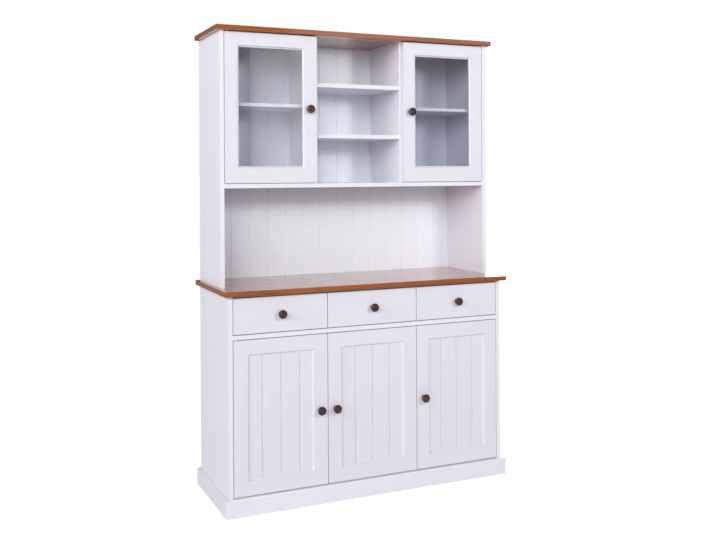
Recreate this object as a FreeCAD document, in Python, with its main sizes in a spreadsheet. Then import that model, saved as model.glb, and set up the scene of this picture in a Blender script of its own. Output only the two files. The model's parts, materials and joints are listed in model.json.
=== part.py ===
import FreeCAD, Part
import Sketcher
import os
import re

# A painted sideboard with a glazed hutch, in millimetres.
# X runs along its width, Y from its front to its back, Z up from the floor.
# The origin lies on the floor, in the middle of the whole piece.

SIZES = {
    # Whole cabinet
    "case_width": 1220,
    "base_depth": 430,
    "overall_height": 1900,
    "case_board": 17,
    "top_board": 20,
    "top_round": 2.5,
    "cut_overrun": 5,
    # Plinth
    "plinth_height": 68,
    "plinth_board": 17,
    "plinth_chamfer": 4,
    # Counter
    "counter_height": 864,
    "counter_side_overhang": 20,
    "counter_front_overhang": 25,
    # Fronts of the base
    "front_board": 20,
    "front_gap": 3,
    "side_gap": 2.5,
    "lower_door_floor_gap": 4,
    "drawer_front_height": 139.5,
    "drawer_front_top_gap": 9,
    # Inside of the base
    "partition_clearance": 5,
    "top_rail_depth": 70,
    "base_back_panel": 4,
    "back_rebate": 8,
    "base_shelf_share": 0.4773,
    "base_shelf_setback": 60,
    "shelf_side_gap": 1,
    "shelf_back_gap": 4,
    # Hutch
    "hutch_setback": 106,
    "hutch_side_overhang": 19,
    "hutch_front_overhang": 19,
    "hutch_back_panel": 6,
    "back_boards_share": 14.56,
    "back_first_board_share": 0.517,
    "back_groove_count_share": 14,
    "back_groove_width": 5,
    "back_groove_depth": 2.4,
    "open_bay_share": 0.3789,
    "cupboard_width": 386,
    "divider_clearance": 1,
    "hutch_door_top_gap": 3.5,
    "hutch_door_overlay": 6.5,
    "lower_niche_shelf_share": 0.3075,
    "upper_niche_shelf_share": 0.6562,
    "cupboard_shelf_board": 14,
    "cupboard_shelf_share": 0.5144,
    "cupboard_shelf_setback": 34,
    # Panelled doors of the base
    "frame_width": 63.5,
    "moulding_width": 6.4,
    "moulding_round": 5.2,
    "moulding_quirk": 0.8,
    "panel_board": 7,
    "panel_groove": 9,
    "panel_play": 1,
    "panel_groove_pitch": 77,
    "panel_v_width": 4.5,
    "panel_v_depth": 2.2,
    # Glazed doors of the hutch
    "glazed_stile": 60,
    "glazed_top_rail": 58,
    "glazed_foot_rail": 67,
    "glazed_moulding_width": 7,
    "glazed_moulding_round": 6,
    "glass_rebate": 8,
    "glass_depth": 8,
    "glass_board": 4,
    "glass_play": 1,
    "bead_width": 7,
    # Pin pivots of the doors
    "pivot_inset": 10,
    "pivot_depth": 6,
    "pivot_radius": 2.5,
    "pivot_fit": 0.06,
    "pivot_seat": 12,
    "pivot_reach": 10,
    "pivot_collar_radius": 4.5,
    "bush_radius": 4,
    "bush_length": 12,
    "bush_flange": 1,
    "pivot_end_play": 0.3,
    # Magnetic catches
    "catch_length": 40,
    "catch_depth": 15,
    "catch_height": 12,
    "catch_inset": 16,
    "catch_round": 1.5,
    "strike_length": 30,
    "strike_height": 12,
    "strike_board": 1.2,
    "strike_gap": 0.4,
    # Knobs
    "knob_radius": 17.5,
    "knob_reach": 30,
    "knob_foot_radius": 11,
    "knob_foot": 3,
    "knob_neck_radius": 8.5,
    "knob_neck": 12,
    "knob_head": 12,
    "knob_ring_radius": 13,
    "knob_ring_width": 1.6,
    "knob_ring_depth": 1.4,
    "knob_throat": 2.5,
    "knob_back_taper": 3.5,
    "knob_rim": 3.5,
    "knob_rim_middle_share": 0.293,
    "knob_button_drop": 1.4,
    "knob_button_taper": 3.4,
    "knob_button_crown": 0.4,
    "lower_knob_inset": 32,
    "lower_knob_height_share": 0.4963,
    "hutch_knob_inset": 33,
    "hutch_knob_height_share": 0.5008,
    # Drawers
    "drawer_side_board": 15,
    "drawer_side_height": 105,
    "drawer_box_length": 380,
    "drawer_side_play": 1.5,
    "drawer_floor_clearance": 6,
    "drawer_bottom_board": 5,
    "drawer_bottom_groove": 5,
    "drawer_bottom_height": 8,
    "runner_reach": 8,
    "runner_height": 16,
    "runner_length": 340,
    "runner_lift": 45,
    "runner_play": 0.3,
    "runner_stop": 24,
    # Shelf pins and hutch dowels
    "pin_radius": 2.5,
    "pin_fit": 0.05,
    "pin_seat": 8,
    "pin_proud": 8,
    "pin_inset": 45,
    "dowel_radius": 4,
    "dowel_fit": 0.05,
    "dowel_counter_seat": 12,
    "dowel_side_seat": 22,
    "dowel_inset": 60,
}

# Planes and edges that several boards share, worked out from the sizes above.
PLACES = {
    "front_y": "-(base_depth - knob_reach) / 2",
    "back_y": "front_y + base_depth",
    "case_left": "-case_width / 2",
    "inner_left": "case_left + case_board",
    "clear_width": "case_width - 2 * case_board",
    "counter_under": "counter_height - top_board",
    "drawer_front_top": "counter_under - drawer_front_top_gap",
    "drawer_front_foot": "drawer_front_top - drawer_front_height",
    "dust_top": "drawer_front_foot - front_gap",
    "dust_under": "dust_top - case_board",
    "lower_door_foot": "plinth_height + lower_door_floor_gap",
    "lower_door_height": "dust_under - front_gap - lower_door_foot",
    "bay_width": "(clear_width - 2 * case_board) / 3",
    "partition_1": "inner_left + bay_width",
    "partition_2": "partition_1 + case_board + bay_width",
    "partition_front": "front_y + front_board + partition_clearance",
    "base_back": "back_y - base_back_panel",
    "top_rail_under": "counter_under - case_board",
    "outer_front_width": "side_front_right - side_front_left",
    "side_front_left": "inner_left + side_gap",
    "side_front_right": "partition_1 + case_board / 2 - front_gap / 2",
    "middle_front_left": "side_front_right + front_gap",
    "middle_front_width": "-2 * middle_front_left",
    "base_shelf_under": "plinth_height + base_shelf_share * (dust_under - plinth_height)",
    "base_shelf_front": "front_y + base_shelf_setback",
    "hutch_front": "front_y + hutch_setback",
    "hutch_back": "back_y - hutch_back_panel",
    "hutch_floor_under": "counter_height + open_bay_share * (overall_height - counter_height)",
    "hutch_floor": "hutch_floor_under + case_board",
    "hutch_ceiling": "overall_height - top_board",
    "hutch_door_foot": "hutch_floor + front_gap",
    "hutch_door_height": "hutch_ceiling - hutch_door_top_gap - hutch_door_foot",
    "hutch_door_width": "cupboard_width - side_gap + hutch_door_overlay",
    "hutch_divider_1": "inner_left + cupboard_width",
    "hutch_divider_2": "-hutch_divider_1 - case_board",
    "hutch_divider_front": "hutch_front + front_board + divider_clearance",
    "niche_width": "-2 * (hutch_divider_1 + case_board)",
    "cupboard_height": "hutch_ceiling - hutch_floor",
    "niche_shelf_1": "hutch_floor + lower_niche_shelf_share * cupboard_height",
    "niche_shelf_2": "hutch_floor + upper_niche_shelf_share * cupboard_height",
    "cupboard_shelf": "hutch_floor + cupboard_shelf_share * cupboard_height",
    "cupboard_shelf_front": "hutch_front + cupboard_shelf_setback",
    "panel_face": "moulding_quirk + moulding_round",
    "panel_back": "panel_face + panel_board",
    "drawer_box_width": "bay_width - 2 * drawer_side_play",
    "drawer_box_foot": "dust_top + drawer_floor_clearance",
    "drawer_box_front": "front_y + front_board",
    "runner_foot": "drawer_box_foot + runner_lift",
    "runner_front": "drawer_box_front + runner_stop",
}

doc = FreeCAD.newDocument("SideboardWithHutch")
sheet = doc.addObject("Spreadsheet::Sheet", "Sizes")
for row, (alias, value) in enumerate(SIZES.items(), start=1):
    sheet.set(f"A{row}", alias)
    sheet.set(f"B{row}", str(value))
    sheet.setAlias(f"B{row}", alias)
doc.recompute()

nodes = []


def sized(text):
    """Write a formula in named sizes and places as an expression on the sheet."""
    def swap(match):
        word = match.group(0)
        if word in PLACES:
            return "(" + sized(PLACES[word]) + ")"
        return "Sizes." + word
    return re.sub(r"[a-z][a-z_0-9]*", swap, text)


def value_of(text):
    """The present value of a formula in named sizes."""
    return float(sheet.evalExpression(sized(text)))


def bind(thing, **formulas):
    """Bind properties of an object to formulas."""
    for name, text in formulas.items():
        thing.setExpression(name, sized(text))
    return thing


def place(thing, x="0 * case_board", y="0 * case_board", z="0 * case_board", turn=None):
    """Bind an object's position, with an optional (axis, angle) turn about its own origin."""
    if turn is not None:
        thing.Placement = FreeCAD.Placement(FreeCAD.Vector(), FreeCAD.Rotation(*turn))
    for axis, text in (("x", x), ("y", y), ("z", z)):
        thing.setExpression("Placement.Base." + axis, sized(text))
    return thing


def node(thing):
    """Count an object as a piece of the cabinet."""
    nodes.append(thing)
    return thing


def box(label, x, y, z, length, width, height):
    """A plain board."""
    board = doc.addObject("Part::Box", label)
    bind(board, Length=length, Width=width, Height=height)
    return place(board, x, y, z)


def rod(label, x, y, z, radius, length, along="z"):
    """A round bar along Z, or along X."""
    bar = doc.addObject("Part::Cylinder", label)
    bind(bar, Radius=radius, Height=length)
    turn = (ACROSS, 90) if along == "x" else None
    return place(bar, x, y, z, turn)


def gathered(label, parts):
    """One object of several pieces that keep their own solids."""
    group = doc.addObject("Part::Compound", label)
    group.Links = parts
    return group


def cut(label, board, tools):
    """A board less its tools."""
    result = doc.addObject("Part::Cut", label)
    result.Base = board
    result.Tool = tools[0] if len(tools) == 1 else gathered(label + "_tools", tools)
    return result


def plane_of(body, role):
    """One of a body's own origin planes."""
    return [feature for feature in body.Origin.OriginFeatures if feature.Role == role][0]


def profile(body, name, role, outline):
    """A closed sketch through points in named sizes.

    An entry (u, v) starts a straight edge, and (u, v, radius, side) an arc of that
    radius, which bulges to the left of its chord for side 1 and to the right for -1.
    """
    sketch = body.newObject("Sketcher::SketchObject", name)
    sketch.AttachmentSupport = [(plane_of(body, role), "")]
    sketch.MapMode = "FlatFace"
    points = [FreeCAD.Vector(value_of(entry[0]), value_of(entry[1]), 0) for entry in outline]
    count = len(points)
    for index, entry in enumerate(outline):
        start = points[index]
        end = points[(index + 1) % count]
        if len(entry) == 2:
            sketch.addGeometry(Part.LineSegment(start, end), False)
        else:
            radius = value_of(entry[2])
            chord = end - start
            left = FreeCAD.Vector(-chord.y, chord.x, 0).normalize()
            drop = (radius ** 2 - (chord.Length / 2) ** 2) ** 0.5
            middle = start + chord / 2 + left * entry[3] * (radius - drop)
            sketch.addGeometry(Part.Arc(start, middle, end), False)
    for index, entry in enumerate(outline):
        follower = (index + 1) % count
        ends = []
        for piece in (index, follower):
            arc_turns_back = len(outline[piece]) == 4 and outline[piece][3] == 1
            ends.append((1, 2) if arc_turns_back else (2, 1))
        sketch.addConstraint(
            Sketcher.Constraint("Coincident", index, ends[0][0], follower, ends[1][1]))
    for index, entry in enumerate(outline):
        turns_back = len(entry) == 4 and entry[3] == 1
        first = 2 if turns_back else 1
        for axis, text in (("X", entry[0]), ("Y", entry[1])):
            rule = Sketcher.Constraint("Distance" + axis, -1, 1, index, first, value_of(text))
            number = sketch.addConstraint(rule)
            sketch.setExpression(f"Constraints[{number}]", sized(text))
        if len(entry) == 4:
            number = sketch.addConstraint(Sketcher.Constraint("Radius", index, value_of(entry[2])))
            sketch.setExpression(f"Constraints[{number}]", sized(entry[2]))
    return sketch


def extruded(label, role, outline, length):
    """A body padded from one sketch along the plane's normal."""
    body = doc.addObject("PartDesign::Body", label)
    sketch = profile(body, label + "_section", role, outline)
    pad = body.newObject("PartDesign::Pad", label + "_length")
    pad.Profile = sketch
    bind(pad, Length=length)
    return body


def turned(label, role, outline):
    """A body turned from one sketch about its upright sketch axis."""
    body = doc.addObject("PartDesign::Body", label)
    sketch = profile(body, label + "_section", role, outline)
    turning = body.newObject("PartDesign::Revolution", label + "_turning")
    turning.Profile = sketch
    turning.ReferenceAxis = (sketch, ["V_Axis"])
    turning.Angle = 360
    return body


def bored(body, name, x, y, z, radius, length):
    """Bore a body along its own Z."""
    bore = body.newObject("PartDesign::SubtractiveCylinder", name)
    bind(bore, Radius=radius, Height=length)
    return place(bore, x, y, z)


def eased(body, name, radius, wanted):
    """Round the edges of a body's last feature that pass the test."""
    doc.recompute()
    base = body.Tip
    chosen = []
    for number, edge in enumerate(base.Shape.Edges, start=1):
        if wanted(edge):
            chosen.append(f"Edge{number}")
    fillet = body.newObject("PartDesign::Fillet", name)
    fillet.Base = (base, chosen)
    bind(fillet, Radius=radius)
    return fillet


ACROSS = FreeCAD.Vector(0, 1, 0)


# Base cupboard: sides with a rebate for the back and holes for the shelf pins

def shelf_pin_rows(shelf_front, shelf_length):
    """The Y places of the two pins at each end of a shelf."""
    return (f"{shelf_front} + pin_inset", f"{shelf_front} + {shelf_length} - pin_inset")


base_shelf_length = "(base_back - base_shelf_front - shelf_back_gap)"
base_pin_rows = shelf_pin_rows("base_shelf_front", base_shelf_length)
base_pin_z = "base_shelf_under - pin_radius"
cupboard_shelf_length = "(hutch_back - cupboard_shelf_front - shelf_back_gap)"
cupboard_pin_rows = shelf_pin_rows("cupboard_shelf_front", cupboard_shelf_length)
cupboard_pin_z = "cupboard_shelf - pin_radius"
pins = []


def pin_hole(label, face, inward, y, z):
    """A shelf pin and its hole in a board's face. inward is 1 where the bay lies at +X."""
    start = f"{face} - pin_seat" if inward == 1 else f"{face} - pin_proud"
    pins.append(rod(label + "_pin", start, y, z, "pin_radius", "pin_seat + pin_proud", "x"))
    hole_start = f"{face} - pin_seat" if inward == 1 else f"{face} - cut_overrun"
    return rod(label + "_hole", hole_start, y, z, "pin_radius + pin_fit",
               "pin_seat + cut_overrun", "x")


def side_board(label, left, inner, inward, foot, front, height, back_panel, rows, pin_z, dowelled):
    """An upright outer side, rebated at the back for its back panel."""
    blank = box(label + "_blank", left, front, foot, "case_board", f"back_y - ({front})", height)
    rebate_x = f"{inner} - back_rebate" if inward == 1 else f"{inner} - cut_overrun"
    tools = [box(label + "_rebate", rebate_x, f"back_y - {back_panel}", f"{foot} - cut_overrun",
                 "back_rebate + cut_overrun", f"{back_panel} + cut_overrun",
                 f"{height} + 2 * cut_overrun")]
    for number, row_y in enumerate(rows, start=1):
        tools.append(pin_hole(f"{label}_{number}", inner, inward, row_y, pin_z))
    if dowelled:
        for number, y in enumerate(dowel_rows, start=1):
            tools.append(rod(f"{label}_dowel_hole_{number}", f"{left} + case_board / 2", y,
                             "counter_height - cut_overrun", "dowel_radius + dowel_fit",
                             "dowel_side_seat + cut_overrun"))
    return node(cut(label, blank, tools))


dowel_rows = ("hutch_front + dowel_inset", "back_y - dowel_inset")
side_board("base_side_left", "case_left", "inner_left", 1, "0 * case_board", "front_y",
           "counter_under", "base_back_panel", base_pin_rows, base_pin_z, False)
side_board("base_side_right", "-inner_left", "-inner_left", -1, "0 * case_board", "front_y",
           "counter_under", "base_back_panel", base_pin_rows, base_pin_z, False)

# Door pivots: where each door's axis stands, and the gaps above and below it

DOORS = {
    "lower_door_1": {
        "left": "side_front_left", "front": "front_y", "foot": "lower_door_foot",
        "width": "outer_front_width", "height": "lower_door_height", "hinge": "left",
        "foot_gap": "lower_door_floor_gap", "top_gap": "front_gap"},
    "lower_door_2": {
        "left": "middle_front_left", "front": "front_y", "foot": "lower_door_foot",
        "width": "middle_front_width", "height": "lower_door_height", "hinge": "right",
        "foot_gap": "lower_door_floor_gap", "top_gap": "front_gap"},
    "lower_door_3": {
        "left": "-side_front_right", "front": "front_y", "foot": "lower_door_foot",
        "width": "outer_front_width", "height": "lower_door_height", "hinge": "right",
        "foot_gap": "lower_door_floor_gap", "top_gap": "front_gap"},
    "hutch_door_left": {
        "left": "side_front_left", "front": "hutch_front", "foot": "hutch_door_foot",
        "width": "hutch_door_width", "height": "hutch_door_height", "hinge": "left",
        "foot_gap": "front_gap", "top_gap": "hutch_door_top_gap"},
    "hutch_door_right": {
        "left": "-side_front_left - hutch_door_width", "front": "hutch_front",
        "foot": "hutch_door_foot", "width": "hutch_door_width", "height": "hutch_door_height",
        "hinge": "right", "foot_gap": "front_gap", "top_gap": "hutch_door_top_gap"},
}


def hinge_x(door):
    """A door's pivot axis in X."""
    if door["hinge"] == "left":
        return f"{door['left']} + pivot_inset"
    return f"{door['left']} + {door['width']} - pivot_inset"


def pivot_holes(board, doors, surface, upward):
    """Holes for pivot pins in a board's upper or lower surface."""
    holes = []
    for name in doors:
        door = DOORS[name]
        start = f"{surface} - pivot_seat" if upward else f"{surface} - cut_overrun"
        holes.append(rod(f"{board}_{name}_pivot_hole", hinge_x(door),
                         f"{door['front']} + pivot_depth", start, "pivot_radius + pin_fit",
                         "pivot_seat + cut_overrun"))
    return holes


lower_doors = ["lower_door_1", "lower_door_2", "lower_door_3"]
hutch_doors = ["hutch_door_left", "hutch_door_right"]

# Base cupboard: boards between the sides

bottom_blank = box("base_bottom_blank", "inner_left", "front_y", "plinth_height - case_board",
                   "clear_width", "base_back - front_y", "case_board")
node(cut("base_bottom_board", bottom_blank,
         pivot_holes("base_bottom", lower_doors, "plinth_height", True)))
dust_blank = box("dust_board_blank", "inner_left", "front_y", "dust_under",
                 "clear_width", "base_back - front_y", "case_board")
node(cut("dust_board", dust_blank, pivot_holes("dust_board", lower_doors, "dust_under", False)))

divider_blank = box("base_divider_blank", "partition_2", "partition_front", "plinth_height",
                    "case_board", "base_back - partition_front", "dust_under - plinth_height")
divider_holes = []
for number, row_y in enumerate(base_pin_rows, start=1):
    divider_holes.append(pin_hole(f"base_divider_a{number}", "partition_2", -1, row_y, base_pin_z))
    divider_holes.append(pin_hole(f"base_divider_b{number}", "partition_2 + case_board", 1, row_y,
                                  base_pin_z))
node(cut("base_divider", divider_blank, divider_holes))

for side, left in (("left", "partition_1"), ("right", "partition_2")):
    node(box(f"drawer_partition_{side}", left, "partition_front", "dust_top", "case_board",
             "base_back - partition_front", "top_rail_under - dust_top"))

front_rail = box("top_rail_front", "inner_left", "partition_front", "top_rail_under",
                 "clear_width", "top_rail_depth", "case_board")
back_rail = box("top_rail_back", "inner_left", "base_back - top_rail_depth", "top_rail_under",
                "clear_width", "top_rail_depth", "case_board")
node(gathered("top_rails", [front_rail, back_rail]))

node(box("base_back_panel", "inner_left - back_rebate", "base_back", "plinth_height - case_board",
         "clear_width + 2 * back_rebate", "base_back_panel",
         "counter_under - plinth_height + case_board"))

node(box("base_shelf_left", "inner_left + shelf_side_gap", "base_shelf_front", "base_shelf_under",
         "partition_2 - inner_left - 2 * shelf_side_gap", base_shelf_length, "case_board"))
node(box("base_shelf_right", "partition_2 + case_board + shelf_side_gap", "base_shelf_front",
         "base_shelf_under", "bay_width - 2 * shelf_side_gap", base_shelf_length, "case_board"))

# Plinth: three boards with a chamfered top edge, mitred at the two front corners

plinth_left = "case_left - plinth_board"
plinth_front_y = "front_y - plinth_board"


def plinth_section(out, inside):
    """Section of a plinth board, with its chamfer on the outer top edge."""
    return [
        (inside, "0 * plinth_height"),
        (inside, "plinth_height"),
        (f"{out[0]} {out[1]} plinth_chamfer", "plinth_height"),
        (out[0], "plinth_height - plinth_chamfer"),
        (out[0], "0 * plinth_height"),
    ]


def mitre_tool(label, sign, y_corner):
    """A prism past the mitre of a front corner, on the side where y_corner lies."""
    tool = extruded(label, "XY_Plane", [
        (f"{sign} * (case_width / 2 + plinth_board + cut_overrun)",
         "front_y - plinth_board - cut_overrun"),
        (f"{sign} * (case_width / 2 - cut_overrun)", "front_y + cut_overrun"),
        (f"{sign} * (case_width / 2 {y_corner[0]})", y_corner[1]),
    ], "plinth_height + 2 * cut_overrun")
    return place(tool, z="-cut_overrun")


behind_mitre = ("+ plinth_board + cut_overrun", "front_y + cut_overrun")
before_mitre = ("- cut_overrun", "front_y - plinth_board - cut_overrun")
front_plinth_blank = extruded("plinth_front_blank", "YZ_Plane",
                              plinth_section((plinth_front_y, "+"), "front_y"),
                              "case_width + 2 * plinth_board")
place(front_plinth_blank, x=plinth_left)
node(cut("plinth_front", front_plinth_blank,
         [mitre_tool("plinth_front_mitre_left", "-1", behind_mitre),
          mitre_tool("plinth_front_mitre_right", "1", behind_mitre)]))
for side, sign in (("left", "-1"), ("right", "1")):
    outer = f"{sign} * (case_width / 2 + plinth_board)"
    inner = f"{sign} * case_width / 2"
    inward = "+" if sign == "-1" else "-"
    blank = extruded(f"plinth_{side}_blank", "XZ_Plane", plinth_section((outer, inward), inner),
                     "base_depth + plinth_board")
    place(blank, y="back_y")
    node(cut(f"plinth_{side}", blank,
             [mitre_tool(f"plinth_{side}_mitre", sign, before_mitre)]))

# Counter: one board with rounded front and side edges, on dowels for the hutch

edge_tolerance = value_of("top_round") / 100


def long_arris(edge, back):
    """True for the horizontal edges of a top, except the ones along its back."""
    ends = [vertex.Point for vertex in edge.Vertexes]
    level = abs(ends[0].z - ends[1].z) < edge_tolerance
    behind = all(abs(point.y - back) < edge_tolerance for point in ends)
    return level and not behind


def top_slab(label, side_overhang, front, front_overhang, under):
    """A counter or cabinet top."""
    body = doc.addObject("PartDesign::Body", label)
    slab = body.newObject("PartDesign::AdditiveBox", label + "_board")
    bind(slab, Length=f"case_width + 2 * {side_overhang}",
         Width=f"back_y - ({front}) + {front_overhang}", Height="top_board")
    place(slab, f"case_left - {side_overhang}", f"{front} - {front_overhang}", under)
    back = value_of("back_y")
    eased(body, label + "_round", "top_round", lambda edge: long_arris(edge, back))
    return body


counter = top_slab("counter_top", "counter_side_overhang", "front_y", "counter_front_overhang",
                   "counter_under")
dowels = []
for side, x in (("left", "case_left + case_board / 2"), ("right", "-case_left - case_board / 2")):
    for number, y in enumerate(dowel_rows, start=1):
        bored(counter, f"counter_dowel_hole_{side}_{number}", x, y,
              "counter_height - dowel_counter_seat", "dowel_radius + dowel_fit",
              "dowel_counter_seat + cut_overrun")
        dowels.append(rod(f"dowel_{side}_{number}", x, y, "counter_height - dowel_counter_seat",
                          "dowel_radius", "dowel_counter_seat + dowel_side_seat"))
node(counter)
node(gathered("hutch_dowels", dowels))

# Hutch: sides, top, bottom board, dividers and shelves

hutch_height = "(hutch_ceiling - counter_height)"
side_board("hutch_side_left", "case_left", "inner_left", 1, "counter_height", "hutch_front",
           hutch_height, "hutch_back_panel", cupboard_pin_rows, cupboard_pin_z, True)
side_board("hutch_side_right", "-inner_left", "-inner_left", -1, "counter_height", "hutch_front",
           hutch_height, "hutch_back_panel", cupboard_pin_rows, cupboard_pin_z, True)

hutch_top = top_slab("hutch_top", "hutch_side_overhang", "hutch_front", "hutch_front_overhang",
                     "hutch_ceiling")
for name in hutch_doors:
    bored(hutch_top, f"hutch_top_{name}_pivot_hole", hinge_x(DOORS[name]),
          "hutch_front + pivot_depth", "hutch_ceiling - cut_overrun", "pivot_radius + pin_fit",
          "pivot_seat + cut_overrun")
node(hutch_top)

hutch_bottom_blank = box("hutch_bottom_blank", "inner_left", "hutch_front", "hutch_floor_under",
                         "clear_width", "hutch_back - hutch_front", "case_board")
node(cut("hutch_bottom_board", hutch_bottom_blank,
         pivot_holes("hutch_bottom", hutch_doors, "hutch_floor", True)))

for side, left, face, inward in (("left", "hutch_divider_1", "hutch_divider_1", -1),
                                 ("right", "hutch_divider_2", "hutch_divider_2 + case_board", 1)):
    blank = box(f"hutch_divider_{side}_blank", left, "hutch_divider_front", "hutch_floor",
                "case_board", "hutch_back - hutch_divider_front", "hutch_ceiling - hutch_floor")
    holes = []
    for number, row_y in enumerate(cupboard_pin_rows, start=1):
        holes.append(pin_hole(f"hutch_divider_{side}_{number}", face, inward, row_y,
                              cupboard_pin_z))
    node(cut(f"hutch_divider_{side}", blank, holes))

for level, under in (("lower", "niche_shelf_1"), ("upper", "niche_shelf_2")):
    node(box(f"niche_shelf_{level}", "-niche_width / 2", "hutch_divider_front", under,
             "niche_width", "hutch_back - hutch_divider_front", "case_board"))
for side, left in (("left", "inner_left"), ("right", "-inner_left - cupboard_width")):
    node(box(f"cupboard_shelf_{side}", f"{left} + shelf_side_gap", "cupboard_shelf_front",
             "cupboard_shelf", "cupboard_width - 2 * shelf_side_gap", cupboard_shelf_length,
             "cupboard_shelf_board"))
node(gathered("shelf_pins", pins))

# Hutch back: one board with upright V grooves at an even pitch, like matched boarding. The
# sheet is cut from a wider one, so that its first and last boards differ in width

back_width = "(clear_width + 2 * back_rebate)"
back_pitch = f"({back_width} / back_boards_share)"
back_first = f"-{back_width} / 2 + back_first_board_share * {back_pitch}"
back_body = extruded("hutch_back_panel", "XY_Plane", [
    (f"-{back_width} / 2", "hutch_back"),
    (f"-{back_width} / 2", "back_y"),
    (f"{back_width} / 2", "back_y"),
    (f"{back_width} / 2", "hutch_back"),
], "hutch_ceiling - counter_height")
groove_sketch = profile(back_body, "back_groove_section", "XY_Plane", [
    (f"{back_first} - back_groove_width / 2", "hutch_back"),
    (back_first, "hutch_back + back_groove_depth"),
    (f"{back_first} + back_groove_width / 2", "hutch_back"),
])
groove = back_body.newObject("PartDesign::Pocket", "back_groove")
groove.Profile = groove_sketch
groove.Reversed = True
bind(groove, Length="hutch_ceiling - counter_height")
grooves = back_body.newObject("PartDesign::LinearPattern", "back_grooves")
grooves.Originals = [groove]
grooves.Direction = (groove_sketch, ["H_Axis"])
bind(grooves, Length=f"(back_groove_count_share - 1) * {back_pitch}",
     Occurrences="back_groove_count_share")
back_body.Tip = grooves
place(back_body, z="counter_height")
node(back_body)

# Drawer runners: hardwood strips on both walls of each drawer bay

runners = []
bay_lefts = ("inner_left", "partition_1 + case_board", "partition_2 + case_board")
for number, left in enumerate(bay_lefts, start=1):
    for side, x in (("left", left), ("right", f"{left} + bay_width - runner_reach")):
        runners.append(box(f"runner_{number}_{side}", x, "runner_front", "runner_foot",
                           "runner_reach", "runner_length", "runner_height"))
node(gathered("drawer_runners", runners))

# Knob: a turned wooden knob with a waisted neck and a ring cut in its face

knob_back = "-knob_foot - knob_neck"
knob_face = "-(knob_foot + knob_neck + knob_head)"
knob_bevel = "knob_rim_middle_share * knob_rim"
knob_button = "knob_ring_radius - knob_ring_width"


def knob(label, x, y, z):
    """A knob whose flat foot rests on a front's face at y."""
    body = turned(label, "XY_Plane", [
        ("0 * knob_radius", "0 * knob_reach"),
        ("knob_foot_radius", "0 * knob_reach"),
        ("knob_foot_radius", "-knob_foot"),
        ("knob_neck_radius", "-knob_foot"),
        ("knob_neck_radius", f"{knob_back} + knob_throat"),
        ("knob_neck_radius + knob_throat", knob_back),
        ("knob_radius - knob_back_taper", knob_back),
        ("knob_radius", f"{knob_back} - knob_back_taper"),
        ("knob_radius", f"{knob_face} + knob_rim"),
        (f"knob_radius - {knob_bevel}", f"{knob_face} + {knob_bevel}"),
        ("knob_radius - knob_rim", knob_face),
        ("knob_ring_radius", knob_face),
        ("knob_ring_radius", f"{knob_face} + knob_ring_depth"),
        (knob_button, f"{knob_face} + knob_ring_depth"),
        (knob_button, "-knob_reach + knob_button_drop"),
        (f"{knob_button} - knob_button_taper", "-knob_reach + knob_button_crown"),
        ("0 * knob_radius", "-knob_reach"),
    ])
    return node(place(body, x, y, z))


# Drawers: a plain front, and a box of two grooved sides, a back and a let-in bottom

DRAWERS = {
    "drawer_1": ("side_front_left", "outer_front_width", bay_lefts[0]),
    "drawer_2": ("middle_front_left", "middle_front_width", bay_lefts[1]),
    "drawer_3": ("-side_front_right", "outer_front_width", bay_lefts[2]),
}
bottom_z = "(drawer_box_foot + drawer_bottom_height)"


def drawer(name, front_left, front_width, bay_left):
    """One drawer."""
    box_left = f"({bay_left} + drawer_side_play)"
    inner_width = "(drawer_box_width - 2 * drawer_side_board)"
    bottom_left = f"({box_left} + drawer_side_board - drawer_bottom_groove)"
    bottom_width = f"({inner_width} + 2 * drawer_bottom_groove)"
    front_blank = box(name + "_front_blank", front_left, "front_y", "drawer_front_foot",
                      front_width, "front_board", "drawer_front_height")
    front_groove = box(name + "_front_groove", bottom_left,
                       "drawer_box_front - drawer_bottom_groove", bottom_z, bottom_width,
                       "drawer_bottom_groove + cut_overrun", "drawer_bottom_board")
    node(cut(name + "_front", front_blank, [front_groove]))
    pieces = []
    groove_depth = "(runner_reach - drawer_side_play + runner_play)"
    for side in ("left", "right"):
        outer = box_left
        runner_groove_x = f"{box_left} - cut_overrun"
        bottom_groove_x = f"{box_left} + drawer_side_board - drawer_bottom_groove"
        if side == "right":
            outer = f"{box_left} + drawer_box_width - drawer_side_board"
            runner_groove_x = f"{box_left} + drawer_box_width - {groove_depth}"
            bottom_groove_x = f"{outer} - cut_overrun"
        blank = box(f"{name}_side_{side}_blank", outer, "drawer_box_front", "drawer_box_foot",
                    "drawer_side_board", "drawer_box_length", "drawer_side_height")
        runner_groove = box(f"{name}_side_{side}_runner_groove", runner_groove_x,
                            "runner_front - runner_play", "runner_foot - runner_play",
                            f"{groove_depth} + cut_overrun", "drawer_box_length",
                            "runner_height + 2 * runner_play")
        bottom_groove = box(f"{name}_side_{side}_bottom_groove", bottom_groove_x,
                            "drawer_box_front - cut_overrun", bottom_z,
                            "drawer_bottom_groove + cut_overrun",
                            "drawer_box_length + 2 * cut_overrun", "drawer_bottom_board")
        pieces.append(cut(f"{name}_side_{side}", blank, [runner_groove, bottom_groove]))
    pieces.append(box(name + "_back", f"{box_left} + drawer_side_board",
                      "drawer_box_front + drawer_box_length - drawer_side_board",
                      f"{bottom_z} + drawer_bottom_board", inner_width, "drawer_side_board",
                      "drawer_side_height - drawer_bottom_height - drawer_bottom_board"))
    pieces.append(box(name + "_bottom", bottom_left, "drawer_box_front - drawer_bottom_groove",
                      bottom_z, bottom_width, "drawer_box_length + drawer_bottom_groove",
                      "drawer_bottom_board"))
    node(gathered(name + "_box", pieces))
    knob(name + "_knob", f"{front_left} + {front_width} / 2", "front_y",
         "drawer_front_foot + drawer_front_height / 2")


for name, (front_left, front_width, bay_left) in DRAWERS.items():
    drawer(name, front_left, front_width, bay_left)


# Doors: each is drawn with its lower left front corner at its own origin

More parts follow.
